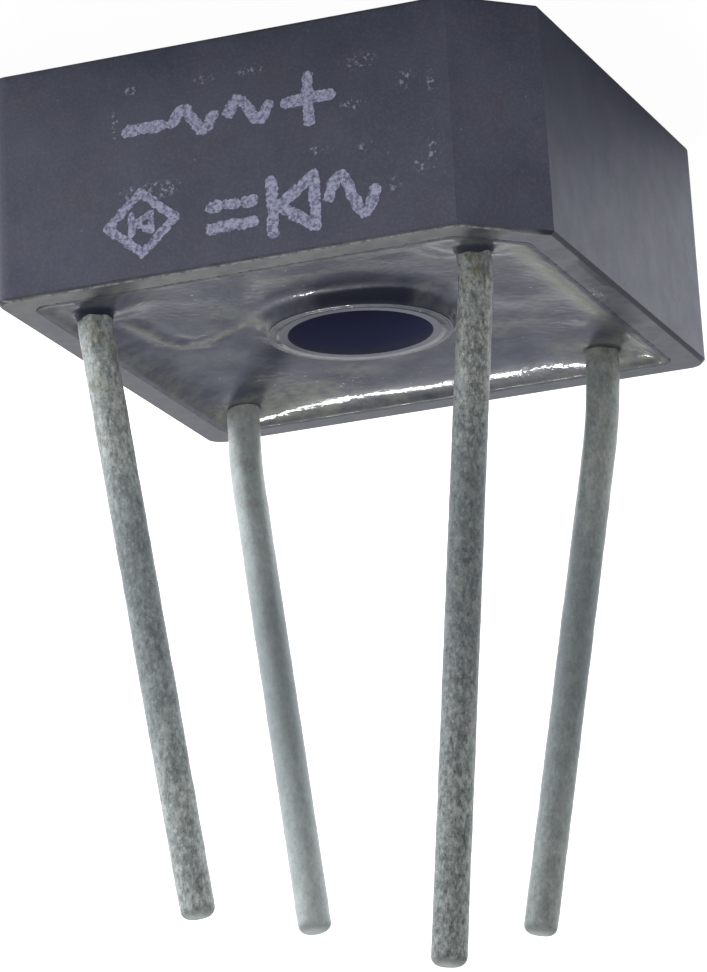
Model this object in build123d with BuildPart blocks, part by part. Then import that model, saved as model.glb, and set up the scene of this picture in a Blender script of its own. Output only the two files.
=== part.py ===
from build123d import *
import math
import os

# Square potted bridge rectifier, in millimetres.
# The flat mounting face lies on z = 0, the origin is the axis of the screw hole on that
# face, and the leads point along +Z. The printed side faces -Y, and the cut corner, at
# -X and -Y, marks the positive lead.

# Case
side = 15.2
height = 6.4
wall = 0.95
floor_thickness = 1.4
outer_draft = 0.8
core_draft = 0.5
corner_cut = 1.97
corner_radius = 0.55
cut_front_radius = 0.85
cut_side_radius = 0.35
core_radius = 0.35
face_edge_radius = 0.12
rim_edge_bevel = 0.1

# Screw hole and the tubular boss round it
hole_diameter = 4.0
boss_wall = 0.55
boss_draft = 1.5
boss_below_rim = 0.1
boss_foot_bevel = 0.3
hole_mouth_chamfer = 0.2

# Resin fill
resin_below_rim = 0.62
meniscus_below_rim = 0.06
meniscus_lip = 0.08
meniscus_bevel = 0.5
meniscus_corner = 0.8
collar_spread = 0.75
collar_film = 0.04
collar_waist = 0.2
collar_shoulder = 0.55

# Leads
lead_diameter = 0.95
lead_wall_gap = 0.775
lead_tip_bevel = 0.22

# Straps, dice and solder, in the resin
strap_under_clearance = 0.6
strap_thickness = 0.4
strap_width = 2.2
strap_wall_gap = 0.2
strap_corner_crop = 0.5
strap_overlap = 1.3
die_width = 2.1
die_thickness = 0.28
solder_thickness = 0.06
joint_spread = 0.12
joint_climb = 0.35


def inset_for(draft, run):
    """How far a drafted wall moves sideways over a run along Z."""
    return run * math.tan(math.radians(draft))


# Heights of the stack, from the closed face up
lower_strap_z = floor_thickness + strap_under_clearance
lower_solder_z = lower_strap_z + strap_thickness
die_z = lower_solder_z + solder_thickness
upper_solder_z = die_z + die_thickness
upper_strap_z = upper_solder_z + solder_thickness
resin_level = height - resin_below_rim
meniscus_top = height - meniscus_below_rim
boss_top = height - boss_below_rim
bevel_z = height - rim_edge_bevel

# Plan sizes that follow from the values above
hole_radius = hole_diameter / 2
boss_radius = hole_radius + boss_wall
boss_foot = boss_radius + inset_for(boss_draft, boss_top - floor_thickness - boss_foot_bevel)
lead_radius = lead_diameter / 2
strap_path = side / 2 - wall - strap_wall_gap - strap_width / 2
lead_half = side / 2 - wall - lead_wall_gap - lead_radius

# Each lead: its corner as signs of x and y, how far along x it was potted off its nominal
# place, the height of its bend above the rim and the bend's radius, how far its tip leans
# over along x and y, the height of its tip and of its resin collar above the rim, and
# whether its strap lies above the dice
leads = {
    "positive": {
        "corner": (-1, -1),
        "stray": 0.1,
        "bend": 0.95,
        "bend_radius": 6.0,
        "lean_x": 1.8,
        "lean_y": 0.1,
        "reach": 18.78,
        "collar": 0.42,
        "upper": False,
    },
    "negative": {
        "corner": (1, 1),
        "stray": 0.35,
        "bend": 1.45,
        "bend_radius": 12.0,
        "lean_x": -1.6,
        "lean_y": -0.35,
        "reach": 15.26,
        "collar": 0.02,
        "upper": False,
    },
    "ac_a": {
        "corner": (1, -1),
        "stray": 0.22,
        "bend": 0.35,
        "bend_radius": 5.0,
        "lean_x": -1.7,
        "lean_y": 1.45,
        "reach": 16.43,
        "collar": 0.28,
        "upper": True,
    },
    "ac_b": {
        "corner": (-1, 1),
        "stray": 0.2,
        "bend": 1.2,
        "bend_radius": 18.0,
        "lean_x": 2.83,
        "lean_y": -0.05,
        "reach": 16.04,
        "collar": 0.08,
        "upper": True,
    },
}

# Each die lies midway along one side, between the straps of the leads at its two ends
dice = {
    "positive_die_a": (0, -1),
    "positive_die_b": (-1, 0),
    "negative_die_a": (1, 0),
    "negative_die_b": (0, 1),
}


def case_outline(inset, radius, front_radius, side_radius):
    """The square with its cut corner, set in from the outline at the rim."""
    half = side / 2 - inset
    cut = corner_cut - (2 - math.sqrt(2)) * inset
    with BuildSketch() as outline:
        with BuildLine():
            Polyline(
                (half, -half),
                (half, half),
                (-half, half),
                (-half, cut - half),
                (cut - half, -half),
                close=True,
            )
        make_face()
        corners = outline.vertices()
        cut_corners = corners.filter_by(lambda v: v.X + v.Y < -half)
        square_corners = corners.filter_by(lambda v: v.X + v.Y > -half)
        front_corner = cut_corners.sort_by(Axis.Y)[0]
        side_corner = cut_corners.sort_by(Axis.X)[0]
        fillet(square_corners, radius)
        fillet(front_corner, front_radius)
        fillet(side_corner, side_radius)
    return outline.sketch


def core_outline(inset):
    """The outline of the cavity, set in from the rim outline."""
    return case_outline(inset, core_radius, core_radius, core_radius)


def lead_foot_z(lead):
    """Where a lead stands on the solder over its strap."""
    strap_z = upper_strap_z if lead["upper"] else lower_strap_z
    return strap_z + strap_thickness + solder_thickness


def lead_xy(lead):
    """Where a lead stands, in plan."""
    sign_x, sign_y = lead["corner"]
    return sign_x * lead_half + lead["stray"], sign_y * lead_half


def strap_sketch(corner):
    """An L in plan: two arms that meet at a corner and run past the middle of two sides."""
    sign_x, sign_y = corner
    arm = strap_path + strap_width / 2 + strap_overlap
    arm_middle = arm / 2 - strap_overlap
    with BuildSketch() as plan:
        with Locations((sign_x * arm_middle, sign_y * strap_path)):
            Rectangle(arm, strap_width)
        with Locations((sign_x * strap_path, sign_y * arm_middle)):
            Rectangle(strap_width, arm)
        chamfer(plan.vertices(), strap_corner_crop)
    return plan.sketch


# Case: a drafted cup, drawn at its rim, with rounded edges round its closed face and fine
# bevels on its rim, and the boss that carries the screw hole
with BuildPart() as case:
    with BuildSketch(Plane.XY.offset(bevel_z)) as rim:
        add(case_outline(0, corner_radius, cut_front_radius, cut_side_radius))
    extrude(amount=-bevel_z, taper=outer_draft)
    extrude(rim.sketch, amount=rim_edge_bevel, taper=45)
    fillet(case.faces().sort_by(Axis.Z)[0].edges(), face_edge_radius)
    with BuildSketch(Plane.XY.offset(bevel_z)) as mouth:
        add(core_outline(wall))
    extrude(amount=floor_thickness - bevel_z, taper=core_draft, mode=Mode.SUBTRACT)
    extrude(mouth.sketch, amount=rim_edge_bevel, taper=-45, mode=Mode.SUBTRACT)
    with BuildSketch(Plane.XZ):
        with BuildLine():
            Polyline(
                (0, floor_thickness),
                (boss_foot + boss_foot_bevel, floor_thickness),
                (boss_foot, floor_thickness + boss_foot_bevel),
                (boss_radius, boss_top),
                (0, boss_top),
                close=True,
            )
        make_face()
    revolve(axis=Axis.Z)
    with Locations((0, 0, boss_top)):
        Hole(hole_radius)
    hole_mouth = case.faces().sort_by(Axis.Z)[0].inner_wires()
    chamfer(hole_mouth.edges(), hole_mouth_chamfer)

case.part.label = "case"

# Straps: stamped from strip, with the corner by the cut corner taken off
straps = {}
for name, lead in leads.items():
    strap_z = upper_strap_z if lead["upper"] else lower_strap_z
    with BuildPart() as strap:
        with BuildSketch(Plane.XY.offset(strap_z)):
            add(strap_sketch(lead["corner"]))
            add(core_outline(wall + strap_wall_gap), mode=Mode.INTERSECT)
        extrude(amount=strap_thickness)
    strap.part.label = f"{name}_strap"
    straps[strap.part.label] = strap.part

# Dice and the solder on both their faces
chips = {}
for name, (side_x, side_y) in dice.items():
    layers = {
        f"{name}_lower_solder": (lower_solder_z, solder_thickness),
        name: (die_z, die_thickness),
        f"{name}_upper_solder": (upper_solder_z, solder_thickness),
    }
    for label, (layer_z, thickness) in layers.items():
        with BuildPart() as layer:
            with BuildSketch(Plane.XY.offset(layer_z)):
                with Locations((side_x * strap_path, side_y * strap_path)):
                    Rectangle(die_width, die_width)
            extrude(amount=thickness)
        layer.part.label = label
        chips[label] = layer.part

# Leads: straight wire with one bend, its cut end rounded over by the tinning
wires = {}
joints = {}
for name, lead in leads.items():
    x, y = lead_xy(lead)
    foot_z = lead_foot_z(lead)
    knee_z = height + lead["bend"]
    tip_z = height + lead["reach"]
    with BuildPart() as wire:
        with BuildLine():
            FilletPolyline(
                (x, y, foot_z),
                (x, y, knee_z),
                (x + lead["lean_x"], y + lead["lean_y"], tip_z),
                radius=lead["bend_radius"],
            )
        with BuildSketch(Plane((x, y, foot_z))):
            Circle(lead_radius)
        sweep()
        chamfer(wire.edges().filter_by(GeomType.CIRCLE).sort_by(Axis.Z)[-1], lead_tip_bevel)
    wire.part.label = f"{name}_lead"
    wires[wire.part.label] = wire.part

    # Solder joint: a thin bed under the foot, drawn up round it to a feather edge
    with BuildPart() as joint:
        with BuildSketch(Plane.XZ.offset(-y)):
            with BuildLine():
                bed_z = foot_z - solder_thickness
                lead_side = x + lead_radius
                joint_edge = lead_side + joint_spread
                Polyline(
                    (lead_side, foot_z + joint_climb),
                    (lead_side, foot_z),
                    (x, foot_z),
                    (x, bed_z),
                    (joint_edge, bed_z),
                    (joint_edge, foot_z),
                    close=True,
                )
            make_face()
        revolve(axis=Axis((x, y, 0), (0, 0, 1)))
    joint.part.label = f"{name}_lead_solder"
    joints[joint.part.label] = joint.part

inner_pieces = {**straps, **chips, **wires, **joints}

# Resin: fills the cavity to its level, with a concave edge along the walls and the boss
# and a collar round each lead. It laps onto the end of the boss as a thin film, and closes
# round every piece that is cast into it
with BuildPart() as potting_compound:
    with BuildSketch(Plane.XY.offset(floor_thickness / 2)):
        add(core_outline(wall / 2))
        Circle(hole_radius + boss_wall / 2, mode=Mode.SUBTRACT)
    extrude(amount=meniscus_top - floor_thickness / 2)
    with BuildSketch(Plane.XY.offset(resin_level)):
        dish_inset = wall + meniscus_lip
        add(case_outline(dish_inset, meniscus_corner, meniscus_corner, meniscus_corner))
        Circle(boss_radius + meniscus_lip, mode=Mode.SUBTRACT)
    extrude(amount=meniscus_top - resin_level, mode=Mode.SUBTRACT)
    dish_floor = potting_compound.faces().filter_by(Axis.Z)
    dish_floor = dish_floor.filter_by_position(Axis.Z, resin_level - 0.01, resin_level + 0.01)
    chamfer(dish_floor.edges(), meniscus_bevel)
    for lead in leads.values():
        x, y = lead_xy(lead)
        collar_rise = height + lead["collar"] - resin_level
        collar_edge = x + lead_radius + collar_film
        with BuildSketch(Plane.XZ.offset(-y)):
            with BuildLine():
                Polyline(
                    (x, resin_level - collar_spread),
                    (collar_edge + collar_spread, resin_level - collar_spread),
                    (collar_edge + collar_spread, resin_level),
                    (
                        collar_edge + collar_waist * collar_spread,
                        resin_level + collar_shoulder * collar_rise,
                    ),
                    (collar_edge, resin_level + collar_rise),
                    (x, resin_level + collar_rise),
                    close=True,
                )
            make_face()
        revolve(axis=Axis((x, y, 0), (0, 0, 1)))
    add(case.part, mode=Mode.SUBTRACT)
    for piece in inner_pieces.values():
        add(piece, mode=Mode.SUBTRACT)

potting_compound.part.label = "potting_compound"

os.makedirs("parts", exist_ok=True)
export_step(case.part, "parts/case.step")
export_step(potting_compound.part, "parts/potting_compound.step")
for label, piece in inner_pieces.items():
    export_step(piece, f"parts/{label}.step")
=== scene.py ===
import math

import bpy
from mathutils import Euler, Matrix, Vector, noise
from mathutils.geometry import delaunay_2d_cdt


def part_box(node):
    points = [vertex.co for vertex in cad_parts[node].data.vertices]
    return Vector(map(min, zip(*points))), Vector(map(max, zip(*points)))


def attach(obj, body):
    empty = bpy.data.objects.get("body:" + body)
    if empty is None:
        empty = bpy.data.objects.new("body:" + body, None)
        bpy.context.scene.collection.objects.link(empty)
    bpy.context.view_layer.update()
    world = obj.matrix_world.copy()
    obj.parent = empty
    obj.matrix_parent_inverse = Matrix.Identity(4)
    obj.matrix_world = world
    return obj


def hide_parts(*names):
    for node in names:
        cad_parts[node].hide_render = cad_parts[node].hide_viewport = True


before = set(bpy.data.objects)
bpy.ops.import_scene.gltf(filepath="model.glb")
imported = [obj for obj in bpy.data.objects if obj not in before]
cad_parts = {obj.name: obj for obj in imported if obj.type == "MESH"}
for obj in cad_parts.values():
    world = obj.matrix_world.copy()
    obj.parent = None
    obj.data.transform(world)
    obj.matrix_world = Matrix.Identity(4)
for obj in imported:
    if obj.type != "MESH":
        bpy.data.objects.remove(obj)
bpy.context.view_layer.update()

# Lengths in this script are millimetres, as in the drawings of the part, and MM turns them
# into the frame's metres where a mesh, a lamp or the camera is made.
MM = 0.001

# Camera: where it stands, how it is turned, in degrees, and how long its lens is
CAMERA_PLACE = (-49.96, -134.10, 51.54)
CAMERA_TURN = (-74.031, -2.784, 158.608)
CAMERA_LENS = 203.13
CAMERA_SENSOR = 36.0

# Light of the surroundings on matt surfaces, and how much more of it comes from +X
LIGHT = 0.86
LIGHT_LEFT = 0.2

# What glossy surfaces mirror of the surroundings: their brightness, how much more there is
# at +X and at +Y, the share of it near the horizon and overhead, and the heights, on a sphere
# of radius 1, between which the one turns into the other
SURROUND = 0.92
SURROUND_LEFT = 0.66
SURROUND_BACK = 0.45
SURROUND_LOW = 0.9
SURROUND_HIGH = 0.1
LOW_UNTIL = 0.02
HIGH_FROM = 0.34

# Floor: its size and whiteness, how much of its glow the camera and gloss see, the tint of
# that glow in gloss, and how dark and how far out the object shades it there
FLOOR_HALF = 1500
FLOOR_WHITE = (0.9, 0.9, 0.9, 1)
FLOOR_GLOW = 0.97
FLOOR_TINT = (0.96, 0.985, 1.04, 1)
FLOOR_SHADE = 0.03
FLOOR_SHADE_NEAR = 5.5
FLOOR_SHADE_FAR = 18.0

# Key lamp: a soft box high at the back on the +X side
LAMP_PLACE = (109, 174, 245)
LAMP_AIM = (0, 0, 8)
LAMP_SIDE = 38
LAMP_POWER = 0.5

# Case
CASE_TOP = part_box("case")[1] / MM
HALF_SIDE = CASE_TOP.x
RIM_Z = CASE_TOP.z
WALL = 0.95
CORNER_CUT = 1.97
CUT_DISTANCE = (2 * HALF_SIDE - CORNER_CUT) / math.sqrt(2)
FLOOR_Z = 1.4
CORE_CORNER = 0.35
CORE_SOFTNESS = 0.12
RIM_BEVEL = 0.1
PRINT_FACE_Y = -7.5

# Boss round the screw hole
HOLE_RADIUS = 2.0
BOSS_RADIUS = 2.55
BOSS_TOP = RIM_Z - 0.1

# Resin: its level, how deep it bites into what it touches, the height of its thin edge, how
# far that laps onto the rim and onto the boss, between which distances it blends into the
# rest, and how near to them the surface bends up
RESIN_LEVEL = RIM_Z - 0.45
RESIN_BITE = 0.02
RESIN_FILM = 0.008
FILM_SUNK = 0.004
FILM_RISE = 0.05
RIM_LAP = 0.17
BOSS_LAP = 0.32
RIM_BLEND = (-0.12, 0.16)
BOSS_BLEND = (-0.1, 0.14)
WALL_BEND = 0.5
BOSS_BEND = 0.22
BEND_HEAD_START = 0.1

# The resin sags round the boss, mounds up towards each lead and ends in a steep collar
SAG = 0.14
SAG_REACH = 1.3
MOUND_REACH = 1.9
COLLAR_REACH = 0.035

# Swells in the resin: size across, seed and height
SWELLS = [(2.6, 3.1, 0.05), (1.1, 7.7, 0.022), (0.4, 1.3, 0.005)]

# A low ridge in the resin, with a shallow trough beside it, that runs from the collar of one
# lead towards the boss
RIDGE_PATH = [
    (5.7, -3.6), (5.5, -2.8), (5.42, -1.9), (5.3, -1.1), (5.05, -0.4), (4.5, -0.2),
    (3.7, -0.76), (2.9, -1.2),
]
RIDGE_HEIGHT = 0.055
RIDGE_WIDTH = 0.16
TROUGH_DEPTH = 0.03
TROUGH_OFFSET = 0.4
TROUGH_WIDTH = 0.22

# How finely the resin's surface is divided: round its edges, in rings that spread from the
# walls, the boss and the leads, and on the open surface
EDGE_RINGS = [0.02, 0.05, 0.09, 0.15, 0.21, 0.28, 0.36, 0.45]
LAP_RINGS = [-0.12, -0.06, -0.01]
LEAST_CORNER = 0.08
RING_GAP = 0.05
OPEN_PITCH = 0.12
ROW_SHARE = math.sqrt(0.75)

# Leads: corner, place off the nominal one, bend above the rim, bend radius, lean and reach,
# height of the steep collar, how far the resin mounds up, how bright each lead's tin is
# painted, a painted light and shade that differs from lead to lead, and how worn the tin is
LEAD_RADIUS = 0.475
LEAD_HALF = 5.4
LEAD_FOOT_Z = 2.9
LEADS = {
    "positive_lead": {
        "corner": (-1, -1), "stray": 0.12, "bend": 0.95, "bend_radius": 6.0,
        "lean": (1.8, 0.1), "reach": 18.78, "collar": 0.22, "mound": 0.8,
        "painted_light": 0.93, "wear": 1.25,
    },
    "negative_lead": {
        "corner": (1, 1), "stray": 0.31, "bend": 1.45, "bend_radius": 12.0,
        "lean": (-1.6, -0.35), "reach": 15.26, "collar": 0.02, "mound": 0.35,
        "painted_light": 1.22, "wear": 0.35,
    },
    "ac_a_lead": {
        "corner": (1, -1), "stray": 0.16, "bend": 0.35, "bend_radius": 5.0,
        "lean": (-1.7, 1.45), "reach": 16.43, "collar": 0.28, "mound": 0.8,
        "painted_light": 1.09, "wear": 1.0,
    },
    "ac_b_lead": {
        "corner": (-1, 1), "stray": 0.25, "bend": 1.2, "bend_radius": 18.0,
        "lean": (2.83, -0.05), "reach": 16.04, "collar": 0.08, "mound": 0.3,
        "painted_light": 1.03, "wear": 0.45,
    },
}

# A lead's skin: points round it, distance between its sections, the rounding of its cut end
# and its steps, the lumps (height, size across, seed) and how far they are sunk
AROUND = 56
SECTION_PITCH = 0.075
TIP_ROUNDING = 0.27
TIP_STEPS = 7
TIP_DISH = 0.015
LUMPS = [(0.010, 0.55, 0), (0.005, 0.2, 3), (0.006, 3.0, 9)]
LUMPS_SUNK = 0.008

# Printed signs: width of a stroke, the grid they are cut from, how proud they stand, and
# the place in front of the face from which they are laid on it
STROKE = 0.34
PRINT_X = (-3.8, 4.5)
PRINT_Z = (1.1, 6.0)
PRINT_CELL = 0.035
PRINT_PROUD = 0.006
IN_FRONT_Y = -20

# The grain of their edges: size across and seed of its waves, their height, how much is worn
# off everywhere and how near to an edge the grain starts
PRINT_GRAIN = [(0.09, 4.0), (0.28, 8.0)]
GRAIN_HEIGHT = 0.05
GRAIN_LOSS = 0.01
GRAIN_REACH = 0.2

# Where traces of rubbed-off ink lie on the printed face: x, z, half width, half height
INK_TRACES = [
    (-5.06, 4.3, 0.14, 0.75), (-4.69, 4.6, 0.2, 0.3), (-4.0, 5.0, 0.2, 0.25),
    (-3.25, 3.85, 0.3, 0.2), (-1.9, 3.7, 0.45, 0.14), (-5.1, 2.3, 0.12, 0.4),
    (-4.4, 2.15, 0.3, 0.35), (-3.2, 1.45, 0.5, 0.3), (-0.1, 1.15, 0.45, 0.14),
    (1.25, 1.15, 0.35, 0.14), (3.3, 1.1, 0.35, 0.14), (3.85, 2.0, 0.12, 0.5),
    (2.9, 4.0, 1.1, 0.3), (-2.9, 2.6, 0.4, 0.2),
]

# Most of a noise texture lies between these values
NOISE_LOW = 0.3
NOISE_HIGH = 0.7


# Helpers


def srgb(red, green, blue):
    """A colour given as it looks on screen, 0 to 255, in the linear values of a shader."""
    linear = []
    for value in (red, green, blue):
        share = value / 255
        if share <= 0.04045:
            linear.append(share / 12.92)
        else:
            linear.append(((share + 0.055) / 1.055) ** 2.4)
    return (*linear, 1.0)


def smooth_step(value, low, high):
    """0 below low, 1 above high, and a smooth rise between them."""
    share = min(max((value - low) / (high - low), 0.0), 1.0)
    return share * share * (3 - 2 * share)


def bell(distance, width):
    """1 at a distance of 0, and a smooth fall to 0 over about twice the width."""
    return math.exp(-(distance / width) ** 2)


def wavy(x, y, z, size, seed):
    """Smooth noise from -1 to 1 whose swells are about size across."""
    return noise.noise(Vector((x / size + seed, y / size - seed, z / size + 2 * seed)))


def new_object(name, points, faces, smooth=True):
    """A mesh object from points in millimetres."""
    mesh = bpy.data.meshes.new(name)
    mesh.from_pydata([Vector(point) * MM for point in points], [], faces)
    mesh.update()
    mesh.polygons.foreach_set("use_smooth", [smooth] * len(mesh.polygons))
    piece = bpy.data.objects.new(name, mesh)
    bpy.context.scene.collection.objects.link(piece)
    return piece


class Nodes:
    """A tree of nodes, with short calls that add to it."""

    def __init__(self, tree):
        self.nodes = tree.nodes
        self.links = tree.links

    def feed(self, socket, value):
        """Joins a value, a colour or another node's output to a socket."""
        if isinstance(value, bpy.types.NodeSocket):
            self.links.new(value, socket)
        else:
            socket.default_value = value

    def math(self, operation, first, second=0.0):
        node = self.nodes.new("ShaderNodeMath")
        node.operation = operation
        self.feed(node.inputs[0], first)
        self.feed(node.inputs[1], second)
        return node.outputs[0]

    def product(self, first, *others):
        for other in others:
            first = self.math("MULTIPLY", first, other)
        return first

    def ramp(self, value, low, high, to_low=0.0, to_high=1.0):
        """A smooth change from to_low at low to to_high at high."""
        node = self.nodes.new("ShaderNodeMapRange")
        node.interpolation_type = "SMOOTHSTEP"
        self.feed(node.inputs["Value"], value)
        node.inputs["From Min"].default_value = low
        node.inputs["From Max"].default_value = high
        node.inputs["To Min"].default_value = to_low
        node.inputs["To Max"].default_value = to_high
        return node.outputs[0]

    def mix(self, factor, first, second, kind="RGBA"):
        """A blend of two colours, or of two numbers if the kind is FLOAT."""
        node = self.nodes.new("ShaderNodeMix")
        node.data_type = kind
        self.feed(node.inputs["Factor"], factor)
        self.feed(node.inputs["A"], first)
        self.feed(node.inputs["B"], second)
        return node.outputs["Result"]


class Shader(Nodes):
    """One material, with short calls that add its nodes. Places are in millimetres."""

    def __init__(self, name):
        self.material = bpy.data.materials.new(name)
        self.material.use_nodes = True
        super().__init__(self.material.node_tree)
        self.bsdf = self.nodes["Principled BSDF"]
        self.output = self.nodes["Material Output"]
        place = self.nodes.new("ShaderNodeTexCoord").outputs["Object"]
        scaled = self.nodes.new("ShaderNodeVectorMath")
        scaled.operation = "SCALE"
        scaled.inputs["Scale"].default_value = 1 / MM
        self.links.new(place, scaled.inputs[0])
        self.place = scaled.outputs[0]
        split = self.nodes.new("ShaderNodeSeparateXYZ")
        self.links.new(self.place, split.inputs[0])
        self.x, self.y, self.z = split.outputs

    def spread(self, value, to_low=0.0, to_high=1.0):
        """A noise's usual range, turned into the range from to_low to to_high."""
        return self.ramp(value, NOISE_LOW, NOISE_HIGH, to_low, to_high)

    def attribute(self, name):
        """A value that the mesh has at each of its points."""
        node = self.nodes.new("ShaderNodeAttribute")
        node.attribute_name = name
        return node.outputs["Fac"]

    def stretched(self, factors, shift=(0.0, 0.0, 0.0)):
        """The place, stretched and shifted, to give a texture a grain."""
        node = self.nodes.new("ShaderNodeMapping")
        self.links.new(self.place, node.inputs["Vector"])
        node.inputs["Scale"].default_value = factors
        node.inputs["Location"].default_value = shift
        return node.outputs[0]

    def noise(self, scale, detail=3.0, roughness=0.55, place=None):
        """Soft noise with about scale swells to the millimetre."""
        node = self.nodes.new("ShaderNodeTexNoise")
        self.links.new(place or self.place, node.inputs["Vector"])
        node.inputs["Scale"].default_value = scale
        node.inputs["Detail"].default_value = detail
        node.inputs["Roughness"].default_value = roughness
        return node.outputs["Fac"]

    def specks(self, per_mm, radius, share):
        """Small round dots in a random share of the cells of a cell pattern."""
        node = self.nodes.new("ShaderNodeTexVoronoi")
        self.links.new(self.place, node.inputs["Vector"])
        node.inputs["Scale"].default_value = per_mm
        chosen = self.nodes.new("ShaderNodeSeparateColor")
        self.links.new(node.outputs["Color"], chosen.inputs[0])
        dot = self.ramp(node.outputs["Distance"], radius * per_mm, radius * per_mm * 0.4)
        picked = self.math("LESS_THAN", chosen.outputs[0], share)
        return self.product(dot, picked)

    def near(self, middle, reach):
        """1 at a place and 0 beyond an oval round it, in a smooth fall."""
        total = 0.0
        for value, centre, half in zip((self.x, self.y, self.z), middle, reach):
            part = self.math("DIVIDE", self.math("SUBTRACT", value, centre), half)
            total = self.math("ADD", total, self.product(part, part))
        return self.ramp(total, 1.0, 0.2)

    def bump(self, height, depth, strength):
        """A bump whose height of 0 to 1 is depth millimetres deep."""
        node = self.nodes.new("ShaderNodeBump")
        node.inputs["Strength"].default_value = strength
        node.inputs["Distance"].default_value = depth * MM
        self.links.new(height, node.inputs["Height"])
        return node.outputs[0]

    def finish(self, colour, roughness, normal, metallic=0.0, specular=0.5):
        self.feed(self.bsdf.inputs["Base Color"], colour)
        self.feed(self.bsdf.inputs["Roughness"], roughness)
        self.feed(self.bsdf.inputs["Metallic"], metallic)
        self.bsdf.inputs["Specular IOR Level"].default_value = specular
        self.links.new(normal, self.bsdf.inputs["Normal"])
        return self.material


# Materials


def edge_distance(shader):
    """How far a place is inside the case's outline, in plan."""
    along_x = shader.math("SUBTRACT", HALF_SIDE, shader.math("ABSOLUTE", shader.x))
    along_y = shader.math("SUBTRACT", HALF_SIDE, shader.math("ABSOLUTE", shader.y))
    to_cut = shader.product(shader.math("ADD", shader.x, shader.y), math.sqrt(0.5))
    to_cut = shader.math("ADD", to_cut, CUT_DISTANCE)
    return shader.math("MINIMUM", shader.math("MINIMUM", along_x, along_y), to_cut)


def at_front(shader):
    """1 along the front of the rim, where the printed face is, and 0 further back."""
    return shader.ramp(shader.y, -5.5, -7.0)


def rim_dust_and_shade(shader):
    """The colour of the dusty rim: warmer at the front, and more mottled at the -X side, where it
    is also darker in a painted shade.
    """
    film = shader.spread(shader.noise(2.2, detail=4.0))
    by_side = shader.product(
        shader.ramp(shader.x, -6.2, -7.0), shader.ramp(shader.y, 7.0, 4.0)
    )
    back_tone = shader.mix(film, srgb(66, 70, 80), srgb(78, 82, 90))
    shaded_side_tone = shader.mix(film, srgb(60, 63, 74), srgb(80, 83, 92))
    front_tone = shader.mix(film, srgb(62, 65, 71), srgb(84, 87, 86))
    return shader.mix(at_front(shader), shader.mix(by_side, back_tone, shaded_side_tone), front_tone)


def ink_traces(shader):
    """Where flakes of ink are left over on the printed face."""
    traces = 0.0
    for x, z, width, height in INK_TRACES:
        trace = shader.near((x, PRINT_FACE_Y, z), (width, 1.0, height))
        traces = shader.math("MAXIMUM", traces, trace)
    flakes = shader.ramp(shader.noise(6.5, detail=3.0, roughness=0.7), 0.53, 0.6)
    return shader.product(traces, flakes, 0.75)


def dust_line(shader, inside, on_rim):
    """A broken line of dust along the rim's front edge."""
    line = shader.product(shader.ramp(inside, 0.12, 0.09), shader.ramp(inside, 0.05, 0.075))
    dashes = shader.ramp(shader.noise(5.5, detail=4.0, roughness=0.75), 0.4, 0.6, 0.2, 0.8)
    return shader.product(line, on_rim, at_front(shader), dashes)


def dirt_line(shader, inside):
    """A dark line of dirt along the rim's -X edge, widest in its front half."""
    swelling = shader.near((-7.5, -2.0, RIM_Z), (2.0, 1.6, 2.0))
    width = shader.ramp(swelling, 0.0, 1.0, 0.0, 0.2)
    return shader.product(
        shader.ramp(shader.math("SUBTRACT", inside, width), 0.13, 0.05),
        shader.ramp(shader.x, -7.2, -7.4),
        shader.ramp(shader.z, RIM_Z - 0.13, RIM_Z - 0.08),
        shader.ramp(shader.y, 7.3, 6.0, 0.2, 0.85),
    )


def bore_shade_mask(shader):
    """Where the screw hole is painted in shade: 1 in the hole, from a little below its mouth, and
    0 elsewhere.
    """
    from_axis = shader.math(
        "ADD", shader.product(shader.x, shader.x), shader.product(shader.y, shader.y)
    )
    within = shader.ramp(from_axis, (HOLE_RADIUS + 0.1) ** 2, (HOLE_RADIUS + 0.02) ** 2)
    return shader.product(within, shader.ramp(shader.z, BOSS_TOP - 0.05, BOSS_TOP - 0.3))


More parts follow.
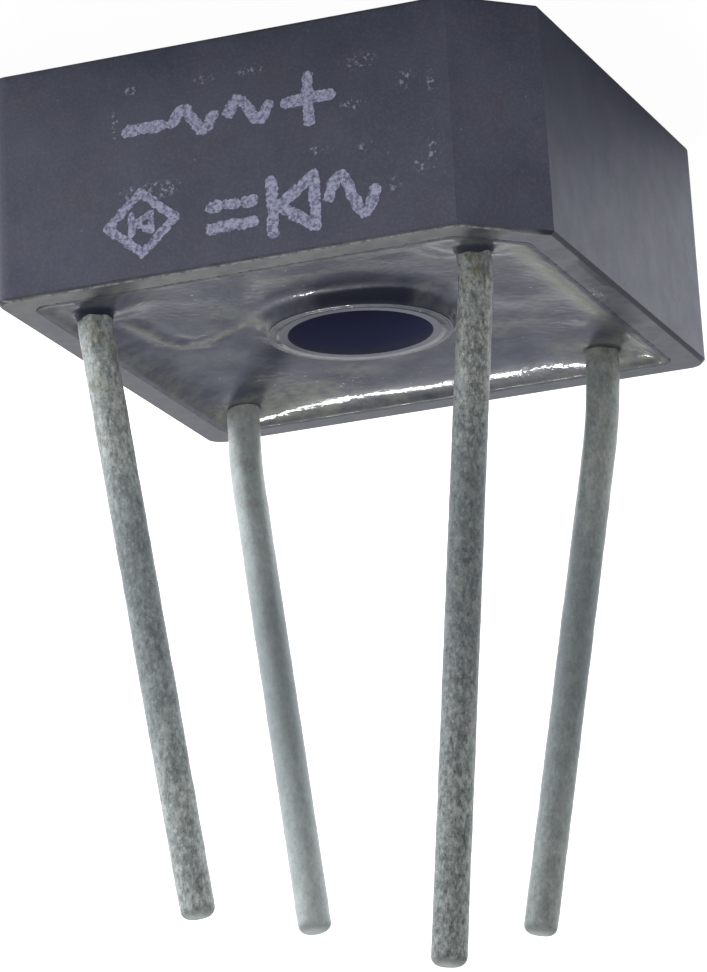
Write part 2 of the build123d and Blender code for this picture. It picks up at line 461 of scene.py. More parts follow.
def moulded_plastic():
    """Dark slate plastic with a fine grain, soft clouds, dust specks, a dusty rim that is darker
    at its -X side in a painted shade, and a painted shade in the screw hole.
    """
    shader = Shader("moulded_plastic")
    grain = shader.noise(13.0, detail=3.0, roughness=0.65)
    clouds = shader.spread(shader.noise(0.5, detail=4.0))
    colour = shader.mix(clouds, srgb(62, 66, 82), srgb(71, 74, 90))
    purple = shader.noise(0.9, detail=4.0, place=shader.stretched((1, 1, 1), (9, 4, 2)))
    colour = shader.mix(shader.ramp(purple, 0.52, 0.72, 0.0, 0.4), colour, srgb(74, 66, 80))
    blue = shader.noise(1.3, detail=4.0, place=shader.stretched((1, 1, 1), (2, 7, 5)))
    colour = shader.mix(shader.ramp(blue, 0.55, 0.75, 0.0, 0.35), colour, srgb(58, 61, 80))
    pale = shader.ramp(grain, 0.42, 0.7, 0.0, 0.16)
    colour = shader.mix(pale, colour, srgb(112, 116, 128))
    dust = shader.product(shader.specks(1.5, 0.035, 0.4), 0.3)
    colour = shader.mix(dust, colour, srgb(150, 154, 165))
    colour = shader.mix(ink_traces(shader), colour, srgb(140, 142, 158))

    # The rim: a dusty film that is darker at the -X side in a painted shade, a pale line, a dark
    # line, pale scuffs and a dark spot painted as a pit's shade at its side
    inside = edge_distance(shader)
    on_rim = shader.ramp(shader.z, RIM_Z - 0.1, RIM_Z - 0.06)
    colour = shader.mix(on_rim, colour, rim_dust_and_shade(shader))
    colour = shader.mix(dust_line(shader, inside, on_rim), colour, srgb(146, 149, 148))
    colour = shader.mix(dirt_line(shader, inside), colour, srgb(40, 42, 52))
    chalky = shader.ramp(shader.noise(5.0, detail=4.0, roughness=0.7), 0.5, 0.6)
    scuffs = shader.product(shader.near((-6.9, -0.3, RIM_Z), (0.22, 0.75, 0.3)), chalky)
    colour = shader.mix(scuffs, colour, srgb(150, 154, 160))
    # A small dark spot painted where a pit's shade would be; the pit is not in the shape
    pit_shade = shader.product(shader.near((-7.6, 0.06, 6.13), (0.3, 0.08, 0.09)), 0.7)
    colour = shader.mix(pit_shade, colour, srgb(36, 38, 46))

    # The screw hole's wall is painted dark blue, a painted shade in the hole, and made duller
    bore_shade = bore_shade_mask(shader)
    colour = shader.mix(bore_shade, colour, srgb(58, 62, 100))
    roughness = shader.spread(shader.noise(1.2, detail=4.0), 0.34, 0.4)
    roughness = shader.math("ADD", roughness, shader.product(bore_shade, 0.4))
    return shader.finish(colour, roughness, shader.bump(grain, 0.008, 0.25))


def cast_resin():
    """Blue-grey resin, glossy where it is clean and dull olive where dust lies on it."""
    shader = Shader("cast_resin")
    clouds = shader.spread(shader.noise(0.8, detail=5.0, roughness=0.6))
    colour = shader.mix(clouds, srgb(53, 57, 73), srgb(73, 77, 89))
    mottle = shader.spread(shader.noise(3.2, detail=5.0, roughness=0.7), 0.15, 1.0)
    dust = shader.product(shader.attribute("dust"), mottle)
    colour = shader.mix(dust, colour, srgb(124, 127, 108))
    flecks = shader.product(shader.specks(1.7, 0.05, 0.45), 0.6)
    colour = shader.mix(flecks, colour, srgb(160, 168, 172))
    grit = shader.product(shader.specks(4.0, 0.025, 0.3), 0.5)
    colour = shader.mix(grit, colour, srgb(54, 55, 52))
    # The collars of the leads and the near side of the boss are painted dark: a painted reflection
    # of dark surroundings
    dark = shader.attribute("dark")
    colour = shader.mix(dark, colour, srgb(38, 42, 56))
    # The thin edge on the rim takes on the rim's colour
    edge = shader.attribute("edge")
    colour = shader.mix(edge, colour, rim_dust_and_shade(shader))
    dull = shader.math("MAXIMUM", dust, edge)
    haze = shader.spread(shader.noise(1.5, detail=4.0), 0.34, 0.46)
    roughness = shader.math("ADD", haze, shader.product(dull, 0.3))
    # A glossy skin, where the resin is neither dull nor painted dark
    ripples = shader.noise(4.2, detail=3.0, roughness=0.5)
    skin = shader.product(
        shader.ramp(dull, 0.1, 0.8, 0.36, 0.0), shader.ramp(dark, 0.3, 0.95, 1.0, 0.0)
    )
    shader.feed(shader.bsdf.inputs["Coat Weight"], skin)
    shader.bsdf.inputs["Coat Roughness"].default_value = 0.09
    shader.feed(shader.bsdf.inputs["Coat Normal"], shader.bump(ripples, 0.028, 0.6))
    return shader.finish(colour, roughness, shader.bump(ripples, 0.02, 0.5), specular=0.2)


def tinned_wire(name, painted_light=1.0, wear=1.0):
    """Dull tin over copper wire: pale and dark mottling, pits and a few warm stains."""
    shader = Shader(name)

    # Each lead's colours are scaled by its painted light, a painted light and shade that differs
    # from lead to lead
    def tone(*colour):
        return srgb(*(min(value * painted_light, 250) for value in colour))

    blotches = shader.stretched((3.2, 3.2, 1.6))
    mottle = shader.noise(1.0, detail=5.0, roughness=0.7, place=blotches)
    grains = shader.stretched((9, 9, 5.5))
    fine = shader.noise(1.0, detail=4.0, roughness=0.75, place=grains)
    step = 0.4 * min(wear, 1.0)
    pale = shader.ramp(mottle, 0.34, 0.66, 0.5 - step, 0.5 + step)
    colour = shader.mix(pale, tone(126, 133, 132), tone(182, 188, 185))
    bright = shader.ramp(fine, 0.52, 0.62, 0.0, 0.6 * wear)
    colour = shader.mix(bright, colour, tone(212, 217, 212))
    dark = shader.ramp(fine, 0.47, 0.38, 0.0, 0.6 * wear)
    colour = shader.mix(dark, colour, tone(88, 91, 88))
    stains = shader.ramp(shader.noise(2.3, detail=4.0, roughness=0.7), 0.5, 0.66, 0.0, 0.5)
    near_case = shader.ramp(shader.z, 11.5, 6.5)
    colour = shader.mix(shader.product(stains, near_case), colour, tone(138, 124, 94))
    # Half way along the tin is darker and bluer
    half_way = shader.product(
        shader.ramp(shader.z, 9.5, 13.0, 0.0, 0.5), shader.ramp(shader.z, 15.0, 21.0, 1.0, 0.15)
    )
    colour = shader.mix(half_way, colour, tone(98, 106, 112))
    # The cut end is dull
    tip = shader.attribute("tip")
    colour = shader.mix(shader.product(tip, 0.75), colour, srgb(126, 132, 132))
    roughness = shader.spread(fine, 0.36, 0.5)
    roughness = shader.math("ADD", roughness, shader.product(tip, 0.3))
    metallic = shader.math("SUBTRACT", 0.5, shader.product(tip, 0.4))
    pits = shader.math("ADD", fine, shader.product(mottle, 1.2))
    normal = shader.bump(pits, 0.016 * wear, 0.6)
    return shader.finish(colour, roughness, normal, metallic=metallic)


def copper():
    """Stamped copper strip, slightly tarnished, with the roller's marks along it."""
    shader = Shader("copper")
    tarnish = shader.noise(0.9, detail=5.0)
    colour = shader.mix(tarnish, srgb(150, 88, 58), srgb(205, 138, 100))
    marks = shader.noise(2.0, detail=3.0, place=shader.stretched((1.0, 12.0, 1.0)))
    roughness = shader.spread(tarnish, 0.28, 0.45)
    return shader.finish(colour, roughness, shader.bump(marks, 0.01, 0.4), metallic=1.0)


def silicon():
    """Sawn silicon: dark blue-grey and glossy."""
    shader = Shader("silicon")
    clouds = shader.noise(1.5, detail=4.0)
    colour = shader.mix(clouds, srgb(44, 48, 58), srgb(66, 72, 86))
    normal = shader.bump(shader.noise(12.0, detail=2.0), 0.005, 0.3)
    return shader.finish(colour, shader.spread(clouds, 0.15, 0.3), normal)


def solder():
    """Cast solder: pale grey metal with a slightly frosted skin."""
    shader = Shader("solder")
    frost = shader.noise(5.0, detail=5.0)
    colour = shader.mix(frost, srgb(138, 141, 143), srgb(186, 189, 190))
    normal = shader.bump(frost, 0.015, 0.4)
    return shader.finish(colour, shader.spread(frost, 0.3, 0.5), normal, metallic=1.0)


def printing_ink():
    """Worn lavender ink, paler where its grains are thick."""
    shader = Shader("printing_ink")
    grain = shader.noise(9.0, detail=4.0, roughness=0.75)
    thick = shader.ramp(grain, 0.36, 0.6)
    colour = shader.mix(thick, srgb(94, 96, 116), srgb(156, 158, 184))
    return shader.finish(colour, 0.6, shader.bump(grain, 0.01, 0.4), specular=0.3)


# Outlines and distances in plan


def cavity_corners(inset):
    """The corners of the case's outline, set in by a distance, in turning order."""
    half = HALF_SIDE - inset
    cut = CORNER_CUT - (2 - math.sqrt(2)) * inset
    return [
        (half, -half), (half, half), (-half, half), (-half, cut - half), (cut - half, -half),
    ]


def rounded_loop(corners, radius, spacing):
    """Points along a polygon whose corners are rounded, evenly spaced."""
    loop = []
    count = len(corners)
    for index, corner in enumerate(corners):
        here = Vector(corner)
        before = (Vector(corners[index - 1]) - here).normalized()
        after = (Vector(corners[(index + 1) % count]) - here).normalized()
        half_angle = before.angle(after) / 2
        reach = radius / math.tan(half_angle)
        centre = here + (before + after).normalized() * radius / math.sin(half_angle)
        start = here + before * reach - centre
        sweep = math.pi - 2 * half_angle
        steps = max(2, round(radius * sweep / spacing))
        for step in range(steps + 1):
            turned = Matrix.Rotation(sweep * step / steps, 2) @ start
            loop.append(centre + turned)
        following = Vector(corners[(index + 1) % count])
        back = (here - following).normalized()
        onward = (Vector(corners[(index + 2) % count]) - following).normalized()
        next_reach = radius / math.tan(back.angle(onward) / 2)
        run_start = here + after * reach
        run_end = following + back * next_reach
        run_steps = max(1, round((run_end - run_start).length / spacing))
        for step in range(1, run_steps):
            loop.append(run_start.lerp(run_end, step / run_steps))
    return loop


def circle_loop(centre, radius, spacing):
    """Points round a circle, evenly spaced."""
    count = max(24, round(2 * math.pi * radius / spacing))
    return [
        Vector((
            centre[0] + radius * math.cos(2 * math.pi * step / count),
            centre[1] + radius * math.sin(2 * math.pi * step / count),
        ))
        for step in range(count)
    ]


def wall_distance(x, y):
    """How far inside the cavity's wall a place is, with the corners softened."""
    half = HALF_SIDE - WALL
    to_cut = CUT_DISTANCE - WALL + (x + y) / math.sqrt(2)
    sides = [half - x, half + x, half - y, half + y, to_cut]
    return -CORE_SOFTNESS * math.log(sum(math.exp(-side / CORE_SOFTNESS) for side in sides))


def wall_inward(x, y):
    """The direction in plan that leads away from the nearest wall."""
    step = 0.01
    slope = Vector((
        wall_distance(x + step, y) - wall_distance(x - step, y),
        wall_distance(x, y + step) - wall_distance(x, y - step),
    ))
    return slope.normalized()


def boss_distance(x, y):
    """How far outside the boss a place is."""
    return math.hypot(x, y) - BOSS_RADIUS


def lead_place(lead):
    """Where a lead's axis stands in plan."""
    return Vector((
        lead["corner"][0] * LEAD_HALF + lead["stray"],
        lead["corner"][1] * LEAD_HALF,
    ))


def path_distance(x, y, path):
    """Distance from a place to a run of points, and how far along it, 0 to 1."""
    here = Vector((x, y))
    best = (math.inf, 0.0)
    runs = len(path) - 1
    for index in range(runs):
        start, end = Vector(path[index]), Vector(path[index + 1])
        along = min(max((here - start).dot(end - start) / (end - start).length_squared, 0), 1)
        gap = (here - start.lerp(end, along)).length
        if gap < best[0]:
            best = (gap, (index + along) / runs)
    return best


# Resin


def climb(distance, bend):
    """The share of a wall's height that the resin climbs: nearly 1 at the wall, 0 far off."""
    return 1 / (1 + (max(distance + BEND_HEAD_START, 0.0) / bend) ** 2)


def resin_swell(x, y):
    """The height of the resin's swells, ridge and trough."""
    swell = sum(height * wavy(x, y, 0, size, seed) for size, seed, height in SWELLS)
    gap, along = path_distance(x, y, RIDGE_PATH)
    fade = smooth_step(along, 0.0, 0.12) * (1 - smooth_step(along, 0.55, 1.0))
    ridge = RIDGE_HEIGHT * bell(gap, RIDGE_WIDTH)
    trough = TROUGH_DEPTH * bell(gap - TROUGH_OFFSET, TROUGH_WIDTH)
    return swell + fade * (ridge - trough)


def resin_height(x, y):
    """The height of the resin's free surface."""
    to_wall = wall_distance(x, y)
    to_boss = boss_distance(x, y)
    spread = 1 + 0.3 * wavy(x, y, 0, 2.2, 5.2)
    at_wall = climb(to_wall, WALL_BEND * spread)
    at_boss = climb(to_boss, BOSS_BEND * spread)
    at_boss *= (BOSS_TOP - RESIN_LEVEL) / (RIM_Z - RESIN_LEVEL)
    free = (1 - at_wall) * (1 - at_boss)
    steep = 0.0
    for lead in LEADS.values():
        centre = lead_place(lead)
        gap = max(math.hypot(x - centre.x, y - centre.y) - LEAD_RADIUS, 0.0)
        angle = math.atan2(y - centre.y, x - centre.x)
        uneven = 1 + 0.2 * math.sin(2 * angle + 5 * centre.x) + 0.1 * math.sin(5 * angle)
        free *= 1 - lead["mound"] * (1 - smooth_step(gap, 0.0, MOUND_REACH)) ** 2
        steep += lead["collar"] * uneven * math.exp(-gap / COLLAR_REACH)
    level = RESIN_LEVEL - SAG * bell(to_boss, SAG_REACH)
    height = level + (RIM_Z - level) * (1 - free) + resin_swell(x, y) * free + steep
    # The thin edge that lies on the rim and on the end of the boss
    on_rim = RIM_Z + RESIN_FILM * smooth_step(to_wall, -RIM_LAP, FILM_RISE - RIM_LAP)
    on_boss = BOSS_TOP + RESIN_FILM * smooth_step(to_boss, -BOSS_LAP, FILM_RISE - BOSS_LAP)
    height += (on_rim - height) * (1 - smooth_step(to_wall, *RIM_BLEND))
    height += (on_boss - height) * (1 - smooth_step(to_boss, *BOSS_BLEND))
    return height


def resin_dust(x, y):
    """How much dust lies on the resin: most along the walls, the boss and the ridge."""
    uneven = 0.6 + 0.5 * wavy(x, y, 0, 0.9, 21.0)
    at_wall = math.exp(-max(wall_distance(x, y), 0) / 0.35) * uneven
    at_boss = math.exp(-max(boss_distance(x, y), 0) / 0.2) * 0.3 * uneven
    ridge_gap, along = path_distance(x, y, RIDGE_PATH)
    at_ridge = 0.65 * bell(ridge_gap, 0.18) * smooth_step(along, 0.0, 0.1)
    patch = 0.35 * smooth_step(wavy(x, y, 0, 1.7, 11.0), 0.0, 0.6)
    # A band beside the -X wall, which thins out towards the back
    by_side = bell(x + 6.2, 0.45) * smooth_step(y, -5.6, -4.6)
    by_side *= 0.95 * (1 - 0.6 * smooth_step(y, 0.5, 4.5))
    by_hole = 0.7 * bell(math.hypot(x - 2.5, y + 1.4), 0.5)
    # Both ends of the back wall
    sideways = max(smooth_step(x, 2.2, 3.4), smooth_step(-x, 3.9, 4.9))
    far_ends = 0.6 * smooth_step(y, 4.2, 4.9) * sideways
    return min(1.0, max(at_wall, at_boss, at_ridge, patch, by_side, by_hole, far_ends))


def resin_painted_dark(x, y):
    """How dark the resin is painted, a painted dark reflection: most on the leads' collars and on
    the boss's near side.
    """
    most = 0.95
    dark = 0.0
    for lead in LEADS.values():
        centre = lead_place(lead)
        gap = math.hypot(x - centre.x, y - centre.y) - LEAD_RADIUS
        depth = (0.4 + lead["collar"]) * 1.4
        dark = max(dark, depth * (1 - smooth_step(gap, 0.02, 0.16)))
    gap = boss_distance(x, y)
    near_side = -1.98
    turn = abs(math.atan2(y, x) - near_side)
    by_boss = smooth_step(gap, -0.1, 0.05) * (1 - smooth_step(gap, 0.7, 1.5))
    dark = max(dark, most * by_boss * (1 - smooth_step(turn, 0.42, 0.62)))
    return min(dark, most)


def resin_edge(x, y):
    """How much of the rim's colour the resin's thin edge takes on."""
    uneven = 0.06 * wavy(x, y, 0, 0.5, 30.0)
    return 1 - smooth_step(wall_distance(x, y) + uneven, -0.1, 0.16)


def open_points():
    """Evenly spaced points of the free surface, clear of the walls, the boss and the leads."""
    keep_off = EDGE_RINGS[-1] + RING_GAP
    pitch_y = OPEN_PITCH * ROW_SHARE
    points = []
    for row in range(round(2 * HALF_SIDE / pitch_y)):
        y = -HALF_SIDE + row * pitch_y
        for column in range(round(2 * HALF_SIDE / OPEN_PITCH)):
            x = -HALF_SIDE + (column + (row % 2) / 2) * OPEN_PITCH
            here = Vector((x, y))
            gaps = [(here - lead_place(lead)).length - LEAD_RADIUS for lead in LEADS.values()]
            if min(wall_distance(x, y), boss_distance(x, y), *gaps) > keep_off:
                points.append(here)
    return points


def sheet_plan():
    """The edges of the resin's surface in plan, the outer one first, and points between."""
    loops = [
        rounded_loop(cavity_corners(WALL - RIM_LAP), CORE_CORNER + RIM_LAP, spacing=0.09),
        circle_loop((0, 0), BOSS_RADIUS - BOSS_LAP, spacing=0.07),
    ]
    points = []
    for ring in LAP_RINGS + EDGE_RINGS:
        corner = max(CORE_CORNER - ring, LEAST_CORNER)
        points += rounded_loop(cavity_corners(WALL + ring), corner, spacing=0.1)
        points += circle_loop((0, 0), BOSS_RADIUS + ring, spacing=0.09)
    for lead in LEADS.values():
        centre = lead_place(lead)
        loops.append(circle_loop(centre, LEAD_RADIUS - RESIN_BITE, spacing=0.06))
        for ring in EDGE_RINGS:
            points += circle_loop(centre, LEAD_RADIUS + ring, spacing=0.05 + ring * 0.1)
    return loops, points + open_points()


def cut_plan(loops, points):
    """Triangles between a convex outer loop and the round holes, through the points given.

    Gives the points in plan, the triangles, and each loop's places in the list of points.
    """
    corners = []
    edges = []
    for loop in loops:
        first = len(corners)
        corners += loop
        edges += [(first + i, first + (i + 1) % len(loop)) for i in range(len(loop))]
    flat, _, faces, sources, _, _ = delaunay_2d_cdt(corners + points, edges, [], 0, 1e-5)
    place_of = {}
    for index, merged in enumerate(sources):
        for source in merged:
            place_of[source] = index
    rings = []
    first = 0
    for loop in loops:
        rings.append([place_of[first + i] for i in range(len(loop))])
        first += len(loop)
    holes = [set(ring) for ring in rings[1:]]
    kept = [face for face in faces if not any(hole.issuperset(face) for hole in holes)]
    return flat, kept, rings


def drawn_down(x, y):
    """The places under a point of the sheet's edge, down to the cavity's floor."""
    out = Vector((x, y))
    if out.length < BOSS_RADIUS:
        at_boss = out.normalized() * (BOSS_RADIUS - RESIN_BITE)
        under = BOSS_TOP - FILM_SUNK
        return [(out, under), (at_boss, under), (at_boss, FLOOR_Z)]
    if wall_distance(x, y) < 0.05:
        inward = wall_inward(x, y)
        at_bevel = out + inward * (RIM_LAP - RIM_BEVEL)
        at_wall = out + inward * (RIM_LAP - RESIN_BITE)
        return [
            (at_bevel, RIM_Z - FILM_SUNK),
            (at_wall, RIM_Z - RIM_BEVEL - RESIN_BITE),
            (at_wall, FLOOR_Z),
        ]
    return [(out, RESIN_LEVEL), (out, (RESIN_LEVEL + FLOOR_Z) / 2), (out, FLOOR_Z)]


def make_resin():
    """The cast resin: one closed piece, finely divided on its free surface."""
    flat, faces, rings = cut_plan(*sheet_plan())
    places = [(p.x, p.y, resin_height(p.x, p.y)) for p in flat]
    low_loops = []
    low_rings = []
    for ring in rings:
        columns = [drawn_down(flat[index].x, flat[index].y) for index in ring]
        above = ring
        for level in zip(*columns):
            below = range(len(places), len(places) + len(ring))
            places += [(*plan, height) for plan, height in level]
            for i in range(len(ring)):
                j = (i + 1) % len(ring)
                faces.append((above[j], above[i], below[i], below[j]))
            above = below
        low_loops.append([column[-1][0] for column in columns])
        low_rings.append(below)
    _, low_faces, rings = cut_plan(low_loops, [])
    low_place = {}
    for ring, low_ring in zip(rings, low_rings):
        low_place.update(zip(ring, low_ring))
    faces += [tuple(low_place[index] for index in reversed(face)) for face in low_faces]
    piece = new_object("cast_resin", places, faces)
    # The dark attribute holds the resin's painted dark reflection
    for name, worth in (("dust", resin_dust), ("dark", resin_painted_dark), ("edge", resin_edge)):
        attribute = piece.data.attributes.new(name, "FLOAT", "POINT")
        for index, vertex in enumerate(piece.data.vertices):
            attribute.data[index].value = worth(vertex.co.x / MM, vertex.co.y / MM)
    return piece


# Leads


def lead_line(lead):
    """The lead's centre line: straight, one arc, straight. Points and directions."""
    foot = lead_place(lead).to_3d()
    foot.z = LEAD_FOOT_Z
    knee = foot.copy()
    knee.z = RIM_Z + lead["bend"]
    radius = lead["bend_radius"]
    lean_x, lean_y = lead["lean"]
    tip = Vector((foot.x + lean_x, foot.y + lean_y, RIM_Z + lead["reach"]))
    up = Vector((0, 0, 1))
    onward = (tip - knee).normalized()
    turn = up.angle(onward)
    reach = radius * math.tan(turn / 2)
    arc_start = knee - up * reach
    side = (onward - up * onward.dot(up)).normalized()
    centre = arc_start + side * radius
    stations = []
    for step in range(round((arc_start - foot).length / SECTION_PITCH)):
        stations.append((foot + up * step * SECTION_PITCH, up))
    arc_steps = max(4, round(turn * radius / SECTION_PITCH))
    for step in range(arc_steps):
        angle = turn * step / arc_steps
        out = up * math.sin(angle) - side * math.cos(angle)
        way = up * math.cos(angle) + side * math.sin(angle)
        stations.append((centre + out * radius, way))
    arc_end = knee + onward * reach
    run = (tip - arc_end).length
    steps = round(run / SECTION_PITCH)
    for step in range(steps + 1):
        stations.append((arc_end + onward * run * step / steps, onward))
    return stations


def lead_sections(lead):
    """The lead's round sections: place, direction and radius. The last ones round its tip."""
    stations = lead_line(lead)
    tip, tip_way = stations[-1]
    sections = [
        (place, way, LEAD_RADIUS) for place, way in stations
        if (tip - place).length > TIP_ROUNDING
    ]
    for step in range(1, TIP_STEPS + 1):
        angle = math.pi / 2 * step / TIP_STEPS
        back = TIP_ROUNDING * (1 - math.sin(angle))
        inner = LEAD_RADIUS - TIP_ROUNDING * (1 - math.cos(angle))
        sections.append((tip - tip_way * back, tip_way, inner))
    return sections


def make_lead(name, lead, seed):
    """A round wire with a slightly uneven tinned skin and a rounded, cut end."""
    sections = lead_sections(lead)
    points = []
    for place, way, radius in sections:
        across = way.cross(Vector((0, 1, 0))).normalized()
        other = way.cross(across)
        for step in range(AROUND):
            angle = 2 * math.pi * step / AROUND
            out = across * math.cos(angle) + other * math.sin(angle)
            skin = place + out * radius
            lump = sum(height * wavy(*skin, size, seed + more) for height, size, more in LUMPS)
            points.append(skin + out * (lump - LUMPS_SUNK))
    faces = []
    rows = len(sections)
    for row in range(rows - 1):
        for step in range(AROUND):
            here = row * AROUND + step
            beside = row * AROUND + (step + 1) % AROUND
            faces.append((here, beside, beside + AROUND, here + AROUND))
    faces.append(tuple(range(AROUND))[::-1])
    tip, tip_way, _ = sections[-1]
    points.append(tip - tip_way * TIP_DISH)
    last = (rows - 1) * AROUND
    for step in range(AROUND):
        faces.append((last + step, last + (step + 1) % AROUND, len(points) - 1))
    wire = new_object(name, points, faces)
    # How far each point belongs to the cut end: 0 along the wire, 1 from the end's third ring
    tip_share = wire.data.attributes.new("tip", "FLOAT", "POINT")
    first_of_end = (rows - TIP_STEPS) * AROUND
    for index in range(first_of_end, len(points)):
        tip_share.data[index].value = min((index - first_of_end) / (2 * AROUND), 1.0)
    return wire


# Printed signs


def segment(x, z, start, end):
    """Distance from a place on the face to a straight stroke."""
    ax, az = start
    bx, bz = end
    run = (bx - ax) ** 2 + (bz - az) ** 2
    along = min(max(((x - ax) * (bx - ax) + (z - az) * (bz - az)) / run, 0.0), 1.0)
    return math.hypot(x - ax - along * (bx - ax), z - az - along * (bz - az))


def wave(centre_x, centre_z, width, height, steps=18):
    """One period of a sine wave as a run of points."""
    points = []
    for step in range(steps + 1):
        share = step / steps
        rise = height / 2 * math.sin(2 * math.pi * share)
        points.append((centre_x + width * (share - 0.5), centre_z + rise))
    return points


def level_stroke(start_x, end_x, z):
    return [(start_x, z), (end_x, z)]


def upright_stroke(x, low_z, high_z):
    return [(x, high_z), (x, low_z)]


def arrow(back_x, tip_x, centre_z, half_height):
    """A diode's triangle, with its tip on the right of its back."""
    top = (back_x, centre_z + half_height)
    return [top, (back_x, centre_z - half_height), (tip_x, centre_z), top]


def sign_runs():
    """The signs' strokes: each a run of places, x and z, and its share of the full width."""
    full, thin, fine = 1.0, 0.8, 0.6
    # Plus, two waves and minus, for the four leads
    row_z = 2.22
    plus_x, plus_reach = -1.68, 0.62
    runs = [
        (level_stroke(plus_x - plus_reach, plus_x + plus_reach, row_z), full),
        (upright_stroke(plus_x, row_z - plus_reach, row_z + plus_reach), full),
        (wave(0.02, row_z, 1.15, 0.62), full),
        (wave(1.6, row_z, 1.15, 0.62), full),
        (level_stroke(2.5, 3.5, row_z), full),
    ]
    # Alternating to direct current: a wave, a diode and a line over dashes
    row_z = 5.05
    half = 0.7
    runs += [
        (wave(-2.8, row_z, 1.3, 1.1), full),
        (arrow(-1.75, -0.72, row_z, half), full),
        (upright_stroke(-0.55, row_z - half, row_z + half), full),
        (level_stroke(0.0, 1.2, row_z + 0.3), full),
    ]
    runs += [(level_stroke(x, x + 0.2, row_z - 0.3), full) for x in (0.0, 0.5, 1.0)]
    # A bridge: a diamond with a diode in it
    row_z = 4.85
    diamond = [(2.2, row_z), (3.18, row_z + 0.85), (4.15, row_z), (3.18, row_z - 0.85)]
    runs += [
        (diamond + diamond[:1], thin),
        (arrow(2.9, 3.35, row_z, 0.25), fine),
        (upright_stroke(3.45, row_z - 0.25, row_z + 0.25), fine),
    ]
    return runs


def sign_distance(x, z, runs):
    """Distance from a place on the printed face to the edge of the nearest stroke."""
    return min(
        segment(x, z, start, end) - STROKE / 2 * share
        for corners, share in runs
        for start, end in zip(corners, corners[1:])
    )


def sign_field(columns, rows):
    """The distance to the signs' grainy edges at each corner of the grid, below 0 inside."""
    runs = sign_runs()
    field = []
    for row in range(rows + 1):
        line = []
        for column in range(columns + 1):
            x = PRINT_X[0] + column * PRINT_CELL
            z = PRINT_Z[0] + row * PRINT_CELL
            value = sign_distance(x, z, runs)
            if value < GRAIN_REACH:
                grain = sum(GRAIN_HEIGHT * wavy(x, 0, z, size, seed) for size, seed in PRINT_GRAIN)
                value += grain + GRAIN_LOSS
            line.append(value)
        field.append(line)
    return field


def make_print():
    """The printed signs, cut out of a fine grid and laid on the case's face."""
    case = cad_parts["case"]
    columns = round((PRINT_X[1] - PRINT_X[0]) / PRINT_CELL)
    rows = round((PRINT_Z[1] - PRINT_Z[0]) / PRINT_CELL)
    field = sign_field(columns, rows)
    points = []
    place_of = {}

    def add_point(key, column, row):
        if key not in place_of:
            place_of[key] = len(points)
            x = PRINT_X[0] + column * PRINT_CELL
            z = PRINT_Z[0] + row * PRINT_CELL
            _, spot, _, _ = case.ray_cast(Vector((x, IN_FRONT_Y, z)) * MM, Vector((0, 1, 0)))
            points.append((x, spot.y / MM - PRINT_PROUD, z))
        return place_of[key]

    faces = []
    for row in range(rows):
        for column in range(columns):
            ring = [(column, row), (column + 1, row), (column + 1, row + 1), (column, row + 1)]
            values = [field[r][c] for c, r in ring]
            polygon = []
            for index in range(4):
                here, there = ring[index], ring[(index + 1) % 4]
                a, b = values[index], values[(index + 1) % 4]
                if a < 0:
                    polygon.append(add_point(here, *here))
                if (a < 0) != (b < 0):
                    share = a / (a - b)
                    between = [h + share * (t - h) for h, t in zip(here, there)]
                    polygon.append(add_point(tuple(sorted((here, there))), *between))
            if len(polygon) >= 3:
                faces.append(tuple(polygon))
    return new_object("printed_signs", points, faces, smooth=False)


# Stage: floor, surroundings, lamp and camera


def side_light(tree, x, y):
    """How bright the surroundings are in a direction: brighter towards +X and +Y."""
    light = tree.product(x, SURROUND_LEFT)
    light = tree.math("ADD", light, tree.product(y, SURROUND_BACK))
    return tree.math("ADD", light, SURROUND)


def mirrored_floor(shader):
    """What gloss mirrors of the floor: dark near the object, like the surroundings far out."""
    flat = shader.nodes.new("ShaderNodeCombineXYZ")
    shader.links.new(shader.x, flat.inputs["X"])
    shader.links.new(shader.y, flat.inputs["Y"])
    size = shader.nodes.new("ShaderNodeVectorMath")
    size.operation = "LENGTH"
    shader.links.new(flat.outputs[0], size.inputs[0])
    distance = size.outputs["Value"]
    light = side_light(
        shader,
        shader.math("DIVIDE", shader.x, distance),
        shader.math("DIVIDE", shader.y, distance),
    )
    shaded = shader.ramp(distance, FLOOR_SHADE_NEAR, FLOOR_SHADE_FAR, FLOOR_SHADE, 1.0)
    return shader.product(light, shaded)


def floor_white():
    """White for the camera with the object's shadow, and shaded in the object's gloss."""
    shader = Shader("floor_white")
    mirrored = mirrored_floor(shader)
    path = shader.nodes.new("ShaderNodeLightPath")
    camera = path.outputs["Is Camera Ray"]
    seen = shader.math("MAXIMUM", camera, path.outputs["Is Glossy Ray"])
    seen = shader.math("MAXIMUM", seen, path.outputs["Is Transmission Ray"])
    glow = shader.nodes.new("ShaderNodeEmission")
    shader.feed(glow.inputs["Strength"], shader.math("MAXIMUM", camera, mirrored))
    shader.feed(glow.inputs["Color"], shader.mix(camera, FLOOR_TINT, (1, 1, 1, 1)))
    shader.nodes.remove(shader.bsdf)
    matt = shader.nodes.new("ShaderNodeBsdfDiffuse")
    matt.inputs["Color"].default_value = FLOOR_WHITE
    mix = shader.nodes.new("ShaderNodeMixShader")
    shader.feed(mix.inputs[0], shader.product(seen, FLOOR_GLOW))
    shader.links.new(matt.outputs[0], mix.inputs[1])
    shader.links.new(glow.outputs[0], mix.inputs[2])
    shader.links.new(mix.outputs[0], shader.output.inputs["Surface"])
    return shader.material


def make_floor():
    """A wide white floor."""
    half = FLOOR_HALF
    corners = [(-half, -half, 0), (half, -half, 0), (half, half, 0), (-half, half, 0)]
    floor = new_object("floor", corners, [(0, 1, 2, 3)])
    floor.data.materials.append(floor_white())


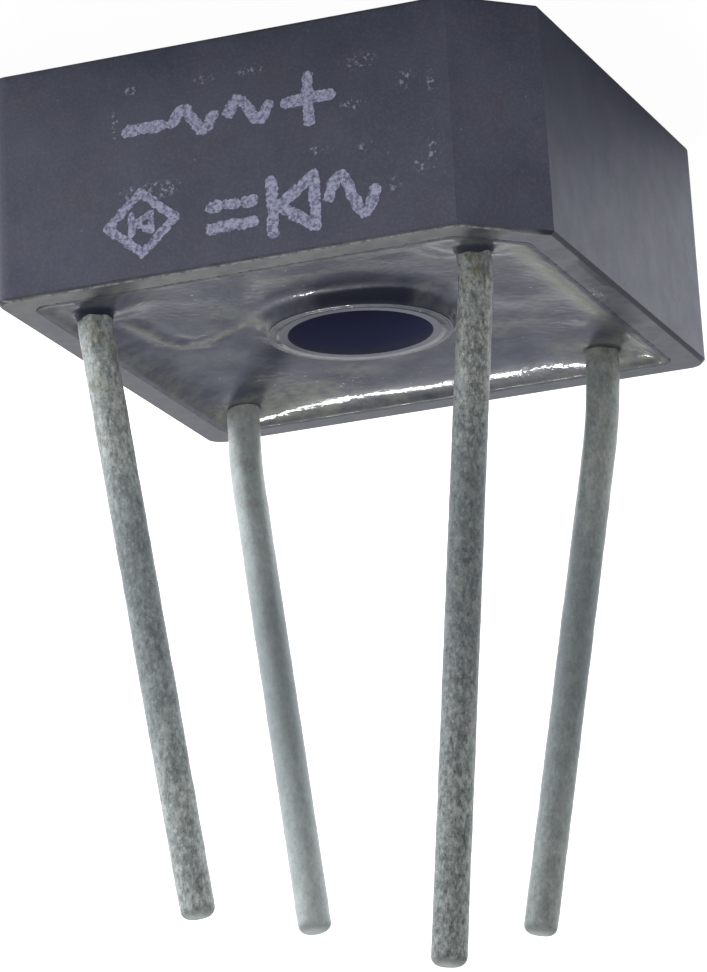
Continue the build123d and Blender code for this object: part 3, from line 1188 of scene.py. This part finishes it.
def make_world():
    """An even light on matt surfaces, white for the camera, and a room for gloss to mirror.

    That room is bright round the horizon and dark overhead, and brighter on two sides.
    """
    world = bpy.data.worlds.new("studio")
    bpy.context.scene.world = world
    world.use_nodes = True
    sky = Nodes(world.node_tree)
    place = sky.nodes.new("ShaderNodeTexCoord")
    split = sky.nodes.new("ShaderNodeSeparateXYZ")
    sky.links.new(place.outputs["Generated"], split.inputs[0])
    x, y, z = split.outputs
    by_height = sky.ramp(z, LOW_UNTIL, HIGH_FROM, SURROUND_LOW, SURROUND_HIGH)
    mirrored = sky.product(side_light(sky, x, y), by_height)
    even = sky.math("ADD", sky.product(x, LIGHT_LEFT), LIGHT)
    path = sky.nodes.new("ShaderNodeLightPath")
    strength = sky.mix(path.outputs["Is Glossy Ray"], even, mirrored, "FLOAT")
    strength = sky.mix(path.outputs["Is Camera Ray"], strength, 1.0, "FLOAT")
    background = sky.nodes["Background"]
    sky.feed(background.inputs["Strength"], strength)
    sky.feed(background.inputs["Color"], (1, 1, 1, 1))


def make_lamp():
    """The key lamp: a square soft box, turned to the object."""
    data = bpy.data.lights.new("key", "AREA")
    data.shape = "SQUARE"
    data.size = LAMP_SIDE * MM
    data.energy = LAMP_POWER
    lamp = bpy.data.objects.new("key", data)
    bpy.context.scene.collection.objects.link(lamp)
    lamp.location = Vector(LAMP_PLACE) * MM
    way = Vector(LAMP_AIM) - Vector(LAMP_PLACE)
    lamp.rotation_euler = way.to_track_quat("-Z", "Y").to_euler()


def make_camera():
    """The camera that took the photo, as its outline gives it."""
    data = bpy.data.cameras.new("camera")
    camera = bpy.data.objects.new("camera", data)
    bpy.context.scene.collection.objects.link(camera)
    camera.location = Vector(CAMERA_PLACE) * MM
    camera.rotation_euler = Euler([math.radians(angle) for angle in CAMERA_TURN])
    data.sensor_fit = "VERTICAL"
    data.sensor_height = CAMERA_SENSOR
    data.lens = CAMERA_LENS
    data.clip_start = 5 * MM
    data.clip_end = 10000 * MM
    bpy.context.scene.camera = camera


# Build

bpy.context.scene.view_settings.view_transform = "Standard"
make_camera()
make_floor()
make_world()
make_lamp()

plastic = moulded_plastic()
resin_finish = cast_resin()
wire_finish = tinned_wire("tinned_wire")
copper_finish = copper()
silicon_finish = silicon()
solder_finish = solder()
ink_finish = printing_ink()

for name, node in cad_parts.items():
    if name == "case":
        finish = plastic
    elif name == "potting_compound":
        finish = resin_finish
    elif name.endswith("solder"):
        finish = solder_finish
    elif name.endswith("strap"):
        finish = copper_finish
    elif "_die_" in name:
        finish = silicon_finish
    else:
        finish = wire_finish
    node.data.materials.clear()
    node.data.materials.append(finish)

resin_piece = make_resin()
resin_piece.data.materials.append(resin_finish)
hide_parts("potting_compound")
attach(resin_piece, "root")

for seed, (name, lead) in enumerate(LEADS.items()):
    wire = make_lead(name + "_wire", lead, 10.0 * seed + 1)
    wire.data.materials.append(tinned_wire(name + "_tin", lead["painted_light"], lead["wear"]))
    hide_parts(name)
    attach(wire, "root")

signs = make_print()
signs.data.materials.append(ink_finish)
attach(signs, "root")
